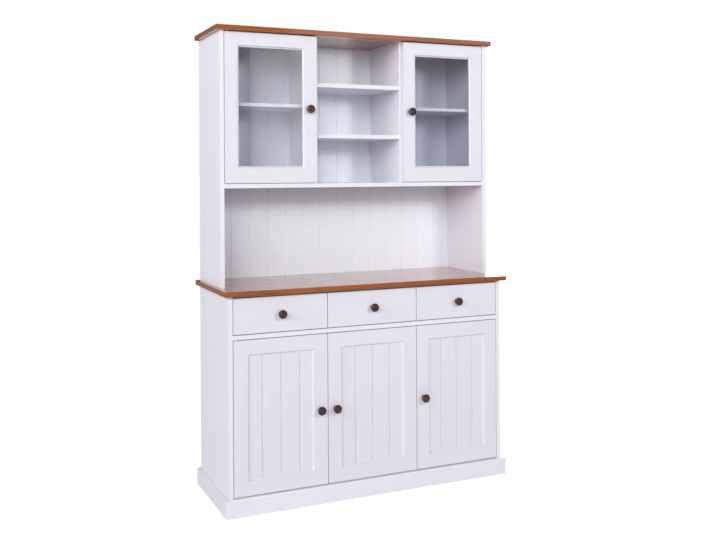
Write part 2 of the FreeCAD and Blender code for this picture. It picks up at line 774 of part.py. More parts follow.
def moulded_edge(width, moulding, rounding, tail):
    """Outline of a moulded frame member: its width first, then its depth from the face."""
    return [
        ("0 * front_board", "0 * front_board"),
        (f"{width} - {moulding}", "0 * front_board"),
        (f"{width} - {moulding}", "moulding_quirk"),
        (f"{width} - {rounding}", "moulding_quirk", rounding, 1),
        (width, f"moulding_quirk + {rounding}"),
    ] + tail + [("0 * front_board", "front_board")]


def panelled_member(width):
    """Section with a groove for the panel."""
    return moulded_edge(width, "moulding_width", "moulding_round", [
        (f"{width} - panel_groove", "panel_face"),
        (f"{width} - panel_groove", "panel_back"),
        (width, "panel_back"),
        (width, "front_board"),
    ])


def glazed_member(width):
    """Section with a rebate for the glass."""
    return moulded_edge(width, "glazed_moulding_width", "glazed_moulding_round", [
        (width, "glass_depth"),
        (f"{width} - glass_rebate", "glass_depth"),
        (f"{width} - glass_rebate", "front_board"),
    ])


def swapped(outline):
    """The same outline with its two axes exchanged."""
    result = []
    for entry in outline:
        if len(entry) == 4:
            result.append((entry[1], entry[0], entry[2], -entry[3]))
        else:
            result.append((entry[1], entry[0]))
    return result


def stile(label, section, door, hinged, on_right):
    """An upright frame member, bored at both ends on the hinge side."""
    body = extruded(label, "XY_Plane", section, door["height"])
    if hinged:
        bored(body, label + "_bore_foot", "pivot_inset", "pivot_depth", "-cut_overrun",
              "bush_radius", "bush_length + cut_overrun")
        bored(body, label + "_bore_top", "pivot_inset", "pivot_depth",
              f"{door['height']} - bush_length", "bush_radius", "bush_length + cut_overrun")
    if on_right:
        return place(body, x=door["width"], z=door["height"], turn=(ACROSS, 180))
    return place(body)


def rail(label, section, door, on_top, shoulder, stiles, tenon):
    """A cross member, coped over the stiles' mouldings."""
    body = extruded(label + "_blank", "YZ_Plane", swapped(section),
                    f"{door['width']} - 2 * {shoulder}")
    if tenon is not None:
        reach, width = tenon
        tongue = body.newObject("PartDesign::AdditiveBox", label + "_tenon")
        bind(tongue, Length=f"{door['width']} - 2 * {shoulder} + 2 * {reach}",
             Width="panel_board", Height=f"{width} - panel_groove")
        place(tongue, f"-{reach}", "panel_face", "0 * case_board")
    if on_top:
        place(body, x=f"{door['width']} - {shoulder}", z=door["height"], turn=(ACROSS, 180))
    else:
        place(body, x=shoulder)
    return cut(label, body, stiles)


def door_frame(name, door, make, stile_width, foot_width, top_width, shoulder, tenon_reach,
               beads):
    """The four members of a door's frame, with any glazing beads."""
    left = stile(name + "_stile_left", make(stile_width), door, door["hinge"] == "left", False)
    right = stile(name + "_stile_right", make(stile_width), door, door["hinge"] == "right", True)
    rails = []
    for place_name, width, on_top in (("foot", foot_width, False), ("top", top_width, True)):
        tenon = None if tenon_reach is None else (tenon_reach, width)
        rails.append(rail(f"{name}_rail_{place_name}", make(width), door, on_top, shoulder,
                          [left, right], tenon))
    frame = gathered(name + "_frame", [left, right] + rails + beads)
    return node(place(frame, door["left"], door["front"], door["foot"]))


def fittings(name, door):
    """Two flanged pivot bushes and the plate that meets the magnetic catch."""
    bushes = []
    axis_x = "pivot_inset"
    strike_x = f"{door['width']} - catch_inset - catch_length / 2 - strike_length / 2"
    if door["hinge"] == "right":
        axis_x = f"{door['width']} - pivot_inset"
        strike_x = "catch_inset + catch_length / 2 - strike_length / 2"
    for end, z, turn in (("foot", "0 * case_board", None), ("top", door["height"], (ACROSS, 180))):
        bush = turned(f"{name}_bush_{end}", "XZ_Plane", [
            ("pivot_radius + pivot_fit", "-bush_flange"),
            ("pivot_collar_radius", "-bush_flange"),
            ("pivot_collar_radius", "0 * bush_flange"),
            ("bush_radius", "0 * bush_flange"),
            ("bush_radius", "bush_length"),
            ("pivot_radius + pivot_fit", "bush_length"),
        ])
        bushes.append(place(bush, axis_x, "pivot_depth", z, turn))
    strike = box(name + "_strike", strike_x, "front_board",
                 f"{door['height']} - strike_height + {door['top_gap']}",
                 "strike_length", "strike_board", f"strike_height - {door['top_gap']}")
    group = gathered(name + "_fittings", bushes + [strike])
    return node(place(group, door["left"], door["front"], door["foot"]))


def v_grooved(label, width, thickness, height, pitch):
    """A panel with three upright V grooves about its middle."""
    outline = [("0 * panel_board", "0 * panel_board")]
    for step in (-1, 0, 1):
        middle = f"{width} / 2 + {step} * {pitch}"
        outline.append((f"{middle} - panel_v_width / 2", "0 * panel_board"))
        outline.append((middle, "panel_v_depth"))
        outline.append((f"{middle} + panel_v_width / 2", "0 * panel_board"))
    outline.append((width, "0 * panel_board"))
    outline.append((width, thickness))
    outline.append(("0 * panel_board", thickness))
    return extruded(label, "XY_Plane", outline, height)


for name in lower_doors:
    door = DOORS[name]
    door_frame(name, door, panelled_member, "frame_width", "frame_width", "frame_width",
               "(frame_width - moulding_width)", "(panel_groove - moulding_width - panel_play)",
               [])
    inset = "(frame_width - panel_groove + panel_play)"
    panel = v_grooved(name + "_panel", f"({door['width']} - 2 * {inset})", "panel_board",
                      f"{door['height']} - 2 * {inset}", "panel_groove_pitch")
    node(place(panel, f"{door['left']} + {inset}", f"{door['front']} + panel_face",
               f"{door['foot']} + {inset}"))
    knob_x = f"{door['left']} + lower_knob_inset"
    if door["hinge"] == "left":
        knob_x = f"{door['left']} + {door['width']} - lower_knob_inset"
    knob(name + "_knob", knob_x, "front_y",
         f"{door['foot']} + lower_knob_height_share * {door['height']}")
    fittings(name, door)

for name in hutch_doors:
    door = DOORS[name]
    pane_x = "(glazed_stile - glass_rebate)"
    pane_foot = "(glazed_foot_rail - glass_rebate)"
    pane_top = "(glazed_top_rail - glass_rebate)"
    bead_y = "glass_depth + glass_board"
    bead_depth = "front_board - glass_depth - glass_board"
    clear_x = f"({door['width']} - 2 * {pane_x})"
    clear_z = f"({door['height']} - {pane_foot} - {pane_top})"
    beads = [
        box(name + "_bead_foot", pane_x, bead_y, pane_foot, clear_x, bead_depth, "bead_width"),
        box(name + "_bead_top", pane_x, bead_y, f"{door['height']} - {pane_top} - bead_width",
            clear_x, bead_depth, "bead_width"),
        box(name + "_bead_left", pane_x, bead_y, f"{pane_foot} + bead_width", "bead_width",
            bead_depth, f"{clear_z} - 2 * bead_width"),
        box(name + "_bead_right", f"{door['width']} - {pane_x} - bead_width", bead_y,
            f"{pane_foot} + bead_width", "bead_width", bead_depth,
            f"{clear_z} - 2 * bead_width"),
    ]
    door_frame(name, door, glazed_member, "glazed_stile", "glazed_foot_rail", "glazed_top_rail",
               pane_x, None, beads)
    node(box(name + "_glass", f"{door['left']} + {pane_x} + glass_play",
             f"{door['front']} + glass_depth", f"{door['foot']} + {pane_foot} + glass_play",
             f"{clear_x} - 2 * glass_play", "glass_board", f"{clear_z} - 2 * glass_play"))
    knob_x = f"{door['left']} + hutch_knob_inset"
    if door["hinge"] == "left":
        knob_x = f"{door['left']} + {door['width']} - hutch_knob_inset"
    knob(name + "_knob", knob_x, "hutch_front",
         f"{door['foot']} + hutch_knob_height_share * {door['height']}")
    fittings(name, door)

# Pivot pins: a shouldered pin above and below each door

pivot_pins = []
for name, door in DOORS.items():
    ends = (("foot", f"{door['foot']} - {door['foot_gap']}", door["foot_gap"], None),
            ("top", f"{door['foot']} + {door['height']} + {door['top_gap']}", door["top_gap"],
             (ACROSS, 180)))
    for end, z, gap, turn in ends:
        collar = f"({gap} - bush_flange - pivot_end_play)"
        pin = turned(f"{name}_pivot_{end}", "XZ_Plane", [
            ("0 * pivot_radius", "-pivot_seat"),
            ("pivot_radius", "-pivot_seat"),
            ("pivot_radius", "0 * pivot_seat"),
            ("pivot_collar_radius", "0 * pivot_seat"),
            ("pivot_collar_radius", collar),
            ("pivot_radius", collar),
            ("pivot_radius", f"{gap} + pivot_reach"),
            ("0 * pivot_radius", f"{gap} + pivot_reach"),
        ])
        pivot_pins.append(place(pin, hinge_x(door), f"{door['front']} + pivot_depth", z, turn))
node(gathered("pivot_pins", pivot_pins))

# Magnetic catches: one above the free corner of each door, on the board over it

catches = []
for name, door in DOORS.items():
    x = f"{door['left']} + catch_inset"
    if door["hinge"] == "left":
        x = f"{door['left']} + {door['width']} - catch_inset - catch_length"
    body = doc.addObject("PartDesign::Body", name + "_catch")
    case = body.newObject("PartDesign::AdditiveBox", name + "_catch_case")
    bind(case, Length="catch_length", Width="catch_depth", Height="catch_height")
    near = value_of("catch_height") / 1000
    eased(body, name + "_catch_round", "catch_round",
          lambda edge: all(abs(vertex.Point.z) < near for vertex in edge.Vertexes))
    catches.append(place(body, x, f"{door['front']} + front_board + strike_board + strike_gap",
                         f"{door['foot']} + {door['height']} + {door['top_gap']} - catch_height"))
node(gathered("magnetic_catches", catches))

# Check every object and write one file for each piece

doc.recompute()
for thing in doc.Objects:
    if "Invalid" in thing.State or "Error" in thing.State:
        raise RuntimeError(f"{thing.Label} failed: {thing.State}")
os.makedirs("parts", exist_ok=True)
for thing in nodes:
    if thing.Shape.isNull() or not thing.Shape.isValid():
        raise RuntimeError(f"{thing.Label} has no valid shape")
for thing in nodes:
    thing.Shape.exportStep(os.path.join("parts", thing.Label + ".step"))
print(len(nodes), "pieces")
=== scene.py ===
import json
import math
import random

import bmesh
import bpy
from bpy.props import FloatProperty, FloatVectorProperty, IntProperty, PointerProperty
from mathutils import Matrix, Vector


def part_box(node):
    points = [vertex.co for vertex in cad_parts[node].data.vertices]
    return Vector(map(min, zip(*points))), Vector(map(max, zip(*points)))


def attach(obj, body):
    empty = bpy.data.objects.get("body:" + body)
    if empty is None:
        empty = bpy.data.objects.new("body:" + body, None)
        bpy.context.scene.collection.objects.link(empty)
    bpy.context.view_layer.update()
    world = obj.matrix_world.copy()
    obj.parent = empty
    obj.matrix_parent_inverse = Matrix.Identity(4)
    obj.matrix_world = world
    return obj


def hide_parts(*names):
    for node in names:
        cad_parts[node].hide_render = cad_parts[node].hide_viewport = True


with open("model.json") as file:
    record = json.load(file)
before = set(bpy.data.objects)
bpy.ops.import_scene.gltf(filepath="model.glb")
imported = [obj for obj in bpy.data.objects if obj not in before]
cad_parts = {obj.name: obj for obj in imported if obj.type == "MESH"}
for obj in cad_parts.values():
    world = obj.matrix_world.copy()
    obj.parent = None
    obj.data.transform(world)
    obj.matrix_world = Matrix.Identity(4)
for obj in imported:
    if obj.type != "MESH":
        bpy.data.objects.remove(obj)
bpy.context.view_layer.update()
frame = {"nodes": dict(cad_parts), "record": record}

bl_info = {
    "name": "Sideboard with hutch",
    "version": (1, 0, 0),
    "blender": (4, 5, 0),
    "location": "View3D > Sidebar > Sideboard",
    "description": "Finishes a painted sideboard with a glazed hutch and its studio",
    "category": "Object",
}

# What the CAD model and its record hold

NODE_BODY = {
    name: body
    for body, names in frame["record"]["behaviour"]["bodies"].items()
    for name in names
}
NODE_SLOT = {part["node"]: part["material_slot"] for part in frame["record"]["subparts"]}
DOORS = ["lower_door_1", "lower_door_2", "lower_door_3", "hutch_door_left", "hutch_door_right"]
DRAWERS = ["drawer_1", "drawer_2", "drawer_3"]
BACKS = ["base_back_panel", "hutch_back_panel"]
PANES = ["hutch_door_left_glass", "hutch_door_right_glass"]
WOODEN_SLOTS = ("painted_front", "painted_case", "painted_boarding", "stained_top", "back_sheet",
                "hardwood", "drawer_wood")

# Fixed values of the meshes

MERGE_DISTANCE = 1e-6
FLAT_ANGLE = math.radians(0.5)
HOLLOW_ANGLE = math.radians(15)
ARRIS_ANGLE = math.radians(40)
ARRIS_STEPS = 2
FULL_WEIGHT = 100
GRAIN_SHIFT = 7.0
KNOB_CREASE = math.radians(50)
HEAD_CREASE = math.radians(35)

# Half outline of a knob in millimetres

# A point is (distance from the axis, depth). An arc is (centre, radius, (first, last angle)).
DRAWN_RADIUS = 17.5
FOOT = [(0.0, 0.0), (10.6, 0.0)]
FOOT_ROLL = ((10.2, 1.0), 1.0, (-60, 90))
FOOT_GROOVE = ((10.2, 3.4), 1.4, (270, 180))
NECK = [(8.6, 5.0), (8.4, 8.0)]
FLARE = ((12.4, 11.6), 4.0, (180, 120))
RIM = ((12.3, 20.2), 5.2, (-78, 62))
RING_GROOVE = ((13.9, 25.6), 0.7, (250, 110))
RING = ((11.2, 26.6), 0.8, (-20, -170))
DOME_RADIUS = 34.0
DOME_ANGLES = (71.5, 90)

# A screw or nail head of unit radius

# Its rings, and the arms, inner corners and floor of its cross recess, are (radius, height).
HEAD_STEPS = 24
HEAD_HEIGHT = 0.62
HEAD_RINGS = ((1.0, 0.0), (1.0, 0.18), (0.86, 0.42), (0.6, 0.56), (0.34, HEAD_HEIGHT))
CROSS_ARM = (0.34, 0.30)
CROSS_CORNER = (0.13, 0.60)
CROSS_FLOOR = (0.0, 0.28)

# Places of the screws and nails, and the seeds of their turns

# Shares are of a width or of a nail head's height, and the drop is in metres.
STRIKE_SHARES = (0.25, 0.75)
CATCH_SHARES = (0.15, 0.85)
STRIKE_DROP = 0.001
NAIL_SUNK = 0.8
STRIKE_SEED = 20
CATCH_SEED = 40
NAIL_SEED = 60
BACKWARDS = (0.0, 1.0, 0.0)
DOWNWARDS = (0.0, 0.0, -1.0)

# Numbers of sockets whose names a node uses more than once

MIX_FACTOR, MIX_FIRST, MIX_SECOND, MIX_RESULT = 0, 6, 7, 2
RANDOM_LOW, RANDOM_HIGH, RANDOM_RESULT = 2, 3, 1

# Fixed values of the finishes and the studio

GLASS_IOR = 1.5
WHITE = (1.0, 1.0, 1.0, 1.0)
FLOOR_REACH = 9.0
FLOOR_ROUGHNESS = 0.6
FLOOR_GLOW = 1.14
FLOOR_SHOWN = 0.87
SENSOR_WIDTH = 36.0
VIEW_RANGE = 100.0

# Each lamp's name, place, aim and size, and whether reflections show it

LAMPS = (
    ("Key", (-8.2, -11.4, 5.8), (0.0, 0.0, 1.2), (6.8, 5.6), True),
    ("Left", (-12.4, -6.6, 5.4), (0.0, 0.0, 1.2), (6.8, 5.6), True),
    ("Low", (-4.8, -13.2, 3.8), (0.0, 0.0, 1.2), (6.8, 5.2), True),
    ("Front", (3.1, -4.2, 2.85), (0.0, 0.0, 1.5), (3.8, 0.6), True),
    ("Pane", (5.2, -13.8, 2.3), (0.0, 0.0, 1.5), (2.6, 3.2), True),
    ("Niche", (1.1, -2.9, 2.05), (0.0, 0.0, 1.65), (0.5, 0.4), False),
    ("Side", (-3.6, -0.7, 2.3), (0.0, 0.0, 1.4), (2.0, 2.0), False),
    ("Back", (5.5, 7.0, 3.6), (0.0, 0.0, 1.0), (5.0, 4.0), True),
)


# Sizes and colours that a user would change

def length(name, description, default):
    return FloatProperty(name=name, description=description, default=default, min=0.0,
                         subtype="DISTANCE", unit="LENGTH", precision=5)


def colour(name, description, default):
    return FloatVectorProperty(name=name, description=description, default=default, size=3,
                               min=0.0, max=1.0, subtype="COLOR")


def share(name, description, default):
    return FloatProperty(name=name, description=description, default=default, min=0.0, max=1.0,
                         subtype="FACTOR")


def angle(name, description, degrees):
    return FloatProperty(name=name, description=description, default=math.radians(degrees),
                         subtype="ANGLE", unit="ROTATION")


def power(name, description, default):
    return FloatProperty(name=name, description=description, default=default, min=0.0,
                         unit="POWER")


def plain(name, description, default, least=0.0):
    return FloatProperty(name=name, description=description, default=default, min=least)


def count(name, description, default, least):
    return IntProperty(name=name, description=description, default=default, min=least)


class FinishSettings(bpy.types.PropertyGroup):
    paint: colour("Paint", "Cool white paint of the cases", (0.815, 0.805, 0.872))
    front: colour("Front paint", "Cool white paint of the doors and drawers", (0.760, 0.752, 0.815))
    # The boards' white paint, with painted light: lighter and bluer than the cases' paint.
    boarding: colour("Boarding paint", "Paint of the grooved back boards", (0.89, 0.925, 0.985))
    paint_roughness: share("Paint roughness", "Satin sheen of the paint", 0.36)
    stain_light: colour("Stain, light", "Early wood of the stained tops", (0.45, 0.138, 0.034))
    stain_middle: colour("Stain, middle", "Body colour of the stained tops", (0.30, 0.076, 0.017))
    stain_dark: colour("Stain, dark", "Late wood of the stained tops", (0.125, 0.026, 0.008))
    knob: colour("Knob", "Dark stain of the turned knobs", (0.038, 0.011, 0.008))
    knob_light: colour("Knob, light", "Light grain of the turned knobs", (0.090, 0.036, 0.026))
    knob_pore: colour("Knob, pores", "Dark pores of the turned knobs", (0.02, 0.010, 0.008))
    beech: colour("Beech", "Plain wood of runners and dowels", (0.60, 0.42, 0.26))
    pine: colour("Pine", "Plain wood of the drawer boxes", (0.70, 0.53, 0.32))
    back: colour("Back sheet", "White face of the thin back sheet", (0.70, 0.69, 0.68))
    glass: colour("Glass", "Faint tint of the panes", (0.945, 0.950, 0.975))
    steel: colour("Steel", "Zinc plated fittings", (0.62, 0.62, 0.64))
    plastic: colour("Catch", "Moulded body of the catches", (0.05, 0.03, 0.022))


class EdgeSettings(bpy.types.PropertyGroup):
    board: length("Board arris", "Rounding on the edges of the boards and drawer boxes", 0.0007)
    front: length("Front arris", "Rounding on the edges of the drawer fronts", 0.0009)
    frame: length("Frame arris", "Rounding on the edges of the door frames and beads", 0.0005)
    thin: length("Thin arris", "Rounding on door panels, backs and glass", 0.0003)


class KnobSettings(bpy.types.PropertyGroup):
    steps: count("Steps", "Steps around a knob", 72, 16)
    arc_steps: count("Arc steps", "Steps along each arc of the turned outline", 8, 2)


class FixingSettings(bpy.types.PropertyGroup):
    knob_screw: length("Knob screw", "Radius of a knob screw's head", 0.0042)
    catch_screw: length("Catch screw", "Radius of a catch screw's head", 0.0028)
    strike_screw: length("Strike screw", "Radius of a strike plate screw's head", 0.00126)
    nail: length("Nail", "Radius of a back nail's head", 0.0019)
    nail_spacing: length("Nail spacing", "Distance between the nails of a back", 0.11)
    nail_margin: length("Nail margin", "Distance of the nails from a back's side edges", 0.0042)
    back_inset: length("Back inset", "Depth of the backs' rear faces in their rebates", 0.0003)


class StageSettings(bpy.types.PropertyGroup):
    focal_length: plain("Focal length", "In millimetres, on a 36 mm sensor", 44.97, 1.0)
    position: FloatVectorProperty(name="Camera", description="Where the camera stands", size=3,
                                  default=(-1.5554, -3.5183, 1.3109), subtype="XYZ", unit="LENGTH")
    heading: angle("Heading", "Camera's turn to the right of straight on", 24.20)
    tilt: angle("Tilt", "Camera's turn about its own view", 0.30)
    rise: plain("Rise", "Lens shift downwards, in frame widths", 0.13414)
    room_light: plain("Room light", "Strength of the even light", 0.10)
    room_colour: colour("Room colour", "Colour of the even light", (0.97, 0.98, 1.0))
    key_light: power("Key light", "Power of the light at the upper left", 715.0)
    left_light: power("Left light", "Power of the light further to the left", 330.0)
    low_light: power("Low light", "Power of the light that fills the niches", 290.0)
    front_light: power("Front light", "Power of the strip light at the right", 12.0)
    niche_light: power("Niche light", "Power of the small light near the niche", 30.0)
    pane_light: power("Pane light", "Power of the light that the glass shows", 72.0)
    side_light: power("Side light", "Power of the light at the left side", 64.0)
    back_light: power("Back light", "Power of the light behind and to the right", 420.0)
    floor: colour("Floor", "Pale floor", (0.62, 0.62, 0.63))


# Node trees of the finishes

class Tree:
    """The node tree of a material or a world, with short ways to add nodes and link them."""

    def __init__(self, owner, output_kind="ShaderNodeOutputMaterial"):
        owner.use_nodes = True
        self.owner = owner
        self.nodes = owner.node_tree.nodes
        self.links = owner.node_tree.links
        self.nodes.clear()
        self.output = self.nodes.new(output_kind)

    def add(self, kind, inputs=None, **settings):
        """A new node with its settings, and the values of its inputs by name."""
        item = self.nodes.new(kind)
        for name, value in settings.items():
            setattr(item, name, value)
        for name, value in (inputs or {}).items():
            item.inputs[name].default_value = value
        return item

    def join(self, source, target):
        """Link an output to an input."""
        self.links.new(source, target)

    def surface(self, base, roughness, others=None):
        """The shader of a solid finish."""
        inputs = {"Base Color": (*base, 1.0), "Roughness": roughness, **(others or {})}
        shader = self.add("ShaderNodeBsdfPrincipled", inputs)
        self.join(shader.outputs["BSDF"], self.output.inputs["Surface"])
        return shader

    def placed(self, source, scale):
        """Coordinates at a scale, so that a pattern has that many units to a metre."""
        mapping = self.add("ShaderNodeMapping", {"Scale": scale})
        self.join(source, mapping.inputs["Vector"])
        return mapping.outputs["Vector"]

    def along(self, length_scale, width_scale):
        """Coordinates on the grain map, whose U runs along each board."""
        source = self.add("ShaderNodeUVMap", uv_map="Grain").outputs["UV"]
        return self.placed(source, (length_scale, width_scale, 1.0))

    def through(self, *scale):
        """Coordinates through the piece, with one scale for all axes or one for each."""
        source = self.add("ShaderNodeTexCoord").outputs["Object"]
        return self.placed(source, scale * 3 if len(scale) == 1 else scale)

    def noise(self, vector, detail, distortion=0.0, roughness=0.5):
        """Soft random patches, one unit of the coordinates in size."""
        item = self.add("ShaderNodeTexNoise", {"Scale": 1.0, "Detail": detail,
                                               "Distortion": distortion, "Roughness": roughness})
        self.join(vector, item.inputs["Vector"])
        return item.outputs["Fac"]

    def ramp(self, factor, stops):
        """Colours between stops of (position, colour)."""
        item = self.add("ShaderNodeValToRGB")
        elements = item.color_ramp.elements
        while len(elements) < len(stops):
            elements.new(0.5)
        for element, (position, value) in zip(elements, stops):
            element.position = position
            element.color = (*value, 1.0)
        self.join(factor, item.inputs["Fac"])
        return item.outputs["Color"]

    def spread(self, factor, low, high, start=0.0, end=1.0):
        """Low to high, as a factor goes from start to end."""
        item = self.add("ShaderNodeMapRange", {"From Min": start, "From Max": end,
                                               "To Min": low, "To Max": high})
        self.join(factor, item.inputs["Value"])
        return item.outputs["Result"]

    def blend(self, factor, first, second):
        """Two colours or sockets, mixed by a factor."""
        item = self.add("ShaderNodeMix", data_type="RGBA", blend_type="MIX")
        self.join(factor, item.inputs[MIX_FACTOR])
        for value, number in ((first, MIX_FIRST), (second, MIX_SECOND)):
            if isinstance(value, bpy.types.NodeSocket):
                self.join(value, item.inputs[number])
            else:
                item.inputs[number].default_value = (*value, 1.0)
        return item.outputs[MIX_RESULT]

    def bump(self, shader, height, strength, distance, after=None):
        """A relief, which may follow another one."""
        item = self.add("ShaderNodeBump", {"Strength": strength, "Distance": distance})
        self.join(height, item.inputs["Height"])
        if after is not None:
            self.join(after, item.inputs["Normal"])
        self.join(item.outputs["Normal"], shader.inputs["Normal"])
        return item.outputs["Normal"]

    def mixed(self, factor, first, second):
        """Mix two shaders, and put the mixture on the output."""
        mix = self.add("ShaderNodeMixShader")
        self.join(factor, mix.inputs["Fac"])
        self.join(first.outputs[0], mix.inputs[1])
        self.join(second.outputs[0], mix.inputs[2])
        self.join(mix.outputs["Shader"], self.output.inputs["Surface"])

    def seen(self, amount=1.0):
        """An amount for what the camera sees, also through glass, and 0 for all other rays."""
        rays = self.add("ShaderNodeLightPath")
        either = self.add("ShaderNodeMath", operation="MAXIMUM")
        self.join(rays.outputs["Is Camera Ray"], either.inputs[0])
        self.join(rays.outputs["Is Transmission Ray"], either.inputs[1])
        scaled = self.add("ShaderNodeMath", operation="MULTIPLY")
        self.join(either.outputs[0], scaled.inputs[0])
        scaled.inputs[1].default_value = amount
        return scaled.outputs[0]


def material_tree(name):
    return Tree(bpy.data.materials.new(name))


def toned(shade, factor):
    """A colour made darker or lighter by a factor."""
    return tuple(min(1.0, factor * value) for value in shade)


def painted_wood(name, paint, roughness, relief, depth):
    """Satin paint with a little of the board's grain showing, and painted shade in its grooves."""
    tree = material_tree(name)
    shader = tree.surface(paint, roughness)
    broad = tree.noise(tree.through(1.6), detail=2.0)
    grain = tree.noise(tree.along(3.0, 150.0), detail=5.0, distortion=0.6)
    spray = tree.noise(tree.through(700.0), detail=2.0)
    # Painted shade: hollow edges, such as groove bottoms, darken by depth towards 35% of the paint.
    groove_shade_mask = tree.add("ShaderNodeAttribute", attribute_name="Hollow").outputs["Fac"]
    grain_shade = toned(paint, 0.965)
    broad_shade = toned(paint, 0.975)
    painted_groove_shade = toned(paint, 0.35)
    grained = tree.blend(tree.spread(grain, 0.0, 0.55, start=0.35, end=0.75), paint, grain_shade)
    clouded = tree.blend(tree.spread(broad, 0.0, 0.6, start=0.3, end=0.7), grained, broad_shade)
    groove_shaded = tree.blend(tree.spread(groove_shade_mask, 0.0, depth), clouded, painted_groove_shade)
    tree.join(groove_shaded, shader.inputs["Base Color"])
    tree.join(tree.spread(spray, roughness - 0.04, roughness + 0.06), shader.inputs["Roughness"])
    peel = tree.bump(shader, spray, strength=0.10, distance=0.0002)
    tree.bump(shader, grain, strength=relief, distance=0.0006, after=peel)
    return tree.owner


def stained_wood(name, light, middle, dark, roughness, coat, grain_width=1.0):
    """Wood grain that runs along each board, under a clear or stained lacquer."""
    tree = material_tree(name)
    shader = tree.surface(middle, roughness, {"Specular IOR Level": 0.15, "Coat Weight": coat,
                                              "Coat Roughness": 0.06})
    figure = tree.noise(tree.along(1.3, 34.0 * grain_width), detail=6.0, distortion=1.3,
                        roughness=0.62)
    rings = tree.add("ShaderNodeTexWave",
                     {"Scale": 1.0, "Distortion": 7.0, "Detail": 3.0, "Detail Scale": 0.5},
                     wave_type="BANDS", bands_direction="Y", wave_profile="SAW")
    tree.join(tree.along(0.9, 14.0 * grain_width), rings.inputs["Vector"])
    pores = tree.noise(tree.along(22.0, 900.0), detail=3.0)
    cloud = tree.noise(tree.through(2.3), detail=3.0)
    pore_shade = toned(dark, 0.45)
    cloud_shade = toned(light, 1.25)
    tone = tree.ramp(figure, [(0.30, dark), (0.43, middle), (0.56, middle), (0.74, light)])
    band = tree.spread(rings.outputs["Fac"], 0.0, 0.45, start=0.55, end=1.0)
    banded = tree.blend(band, tone, dark)
    pored = tree.blend(tree.spread(pores, 0.0, 0.55, start=0.56, end=0.70), banded, pore_shade)
    lifted = tree.blend(tree.spread(cloud, 0.0, 0.30, start=0.35, end=0.7), pored, cloud_shade)
    tree.join(lifted, shader.inputs["Base Color"])
    tree.join(tree.spread(figure, roughness - 0.05, roughness + 0.08, start=0.3, end=0.7),
              shader.inputs["Roughness"])
    fine = tree.bump(shader, pores, strength=0.12, distance=0.0003)
    tree.bump(shader, figure, strength=0.10, distance=0.0006, after=fine)
    return tree.owner


def turned_wood(finish):
    """Dark stained and lacquered turned wood."""
    tree = material_tree("Turned dark wood")
    shader = tree.surface(finish.knob, 0.33, {"Specular IOR Level": 0.2, "Coat Weight": 1.0,
                                              "Coat Roughness": 0.1})
    grain = tree.noise(tree.through(60.0, 60.0, 900.0), detail=5.0, distortion=0.8)
    pores = tree.noise(tree.through(500.0, 500.0, 60.0), detail=2.0)
    tone = tree.blend(tree.spread(grain, 0.0, 1.0, start=0.35, end=0.7), finish.knob,
                      finish.knob_light)
    pored = tree.blend(tree.spread(pores, 0.0, 0.6, start=0.58, end=0.72), tone, finish.knob_pore)
    tree.join(pored, shader.inputs["Base Color"])
    tree.join(tree.spread(grain, 0.28, 0.42), shader.inputs["Roughness"])
    tree.bump(shader, grain, strength=0.12, distance=0.0003)
    return tree.owner


def pane_glass(finish):
    """Clear float glass: what lies behind shows, with a sheen that grows with the angle."""
    tree = material_tree("Clear glass")
    clear = tree.add("ShaderNodeBsdfTransparent", {"Color": (*finish.glass, 1.0)})
    gloss = tree.add("ShaderNodeBsdfGlossy")
    smear = tree.noise(tree.through(9.0), detail=3.0)
    tree.join(tree.spread(smear, 0.04, 0.08), gloss.inputs["Roughness"])
    fresnel = tree.add("ShaderNodeFresnel")
    inner_side = tree.add("ShaderNodeNewGeometry").outputs["Backfacing"]
    tree.join(tree.spread(inner_side, GLASS_IOR, 1.0 / GLASS_IOR), fresnel.inputs["IOR"])
    tree.mixed(fresnel.outputs["Fac"], clear, gloss)
    return tree.owner


def plated_steel(finish):
    """Zinc plating with fine drawn lines."""
    tree = material_tree("Zinc plated steel")
    shader = tree.surface(finish.steel, 0.32, {"Metallic": 1.0})
    lines = tree.noise(tree.through(300.0, 300.0, 4000.0), detail=3.0)
    spangle = tree.noise(tree.through(220.0), detail=2.0)
    spangle_shade = toned(finish.steel, 0.82)
    spangled = tree.blend(tree.spread(spangle, 0.0, 0.5, start=0.4, end=0.7), finish.steel,
                          spangle_shade)
    tree.join(spangled, shader.inputs["Base Color"])
    tree.join(tree.spread(lines, 0.24, 0.42), shader.inputs["Roughness"])
    tree.bump(shader, lines, strength=0.08, distance=0.0001)
    return tree.owner


def moulded_plastic(finish):
    """Brown plastic with a fine spark texture."""
    tree = material_tree("Moulded brown plastic")
    shader = tree.surface(finish.plastic, 0.5)
    spark = tree.noise(tree.through(1400.0), detail=2.0)
    spark_shade = toned(finish.plastic, 1.5)
    sparked = tree.blend(tree.spread(spark, 0.0, 0.35), finish.plastic, spark_shade)
    tree.join(sparked, shader.inputs["Base Color"])
    tree.join(tree.spread(spark, 0.42, 0.58), shader.inputs["Roughness"])
    tree.bump(shader, spark, strength=0.2, distance=0.0002)
    return tree.owner


def faced_sheet(finish):
    """Thin white-faced board with faint pressed fibres."""
    tree = material_tree("White faced back sheet")
    shader = tree.surface(finish.back, 0.55)
    fibre = tree.noise(tree.along(160.0, 420.0), detail=6.0, distortion=2.0)
    cloud = tree.noise(tree.through(3.0), detail=3.0)
    fibre_shade = toned(finish.back, 0.93)
    cloud_shade = toned(finish.back, 0.96)
    tone = tree.blend(tree.spread(fibre, 0.0, 0.5, start=0.4, end=0.7), finish.back, fibre_shade)
    clouded = tree.blend(tree.spread(cloud, 0.0, 0.4, start=0.35, end=0.7), tone, cloud_shade)
    tree.join(clouded, shader.inputs["Base Color"])
    tree.bump(shader, fibre, strength=0.15, distance=0.0003)
    return tree.owner


MATERIALS = {}


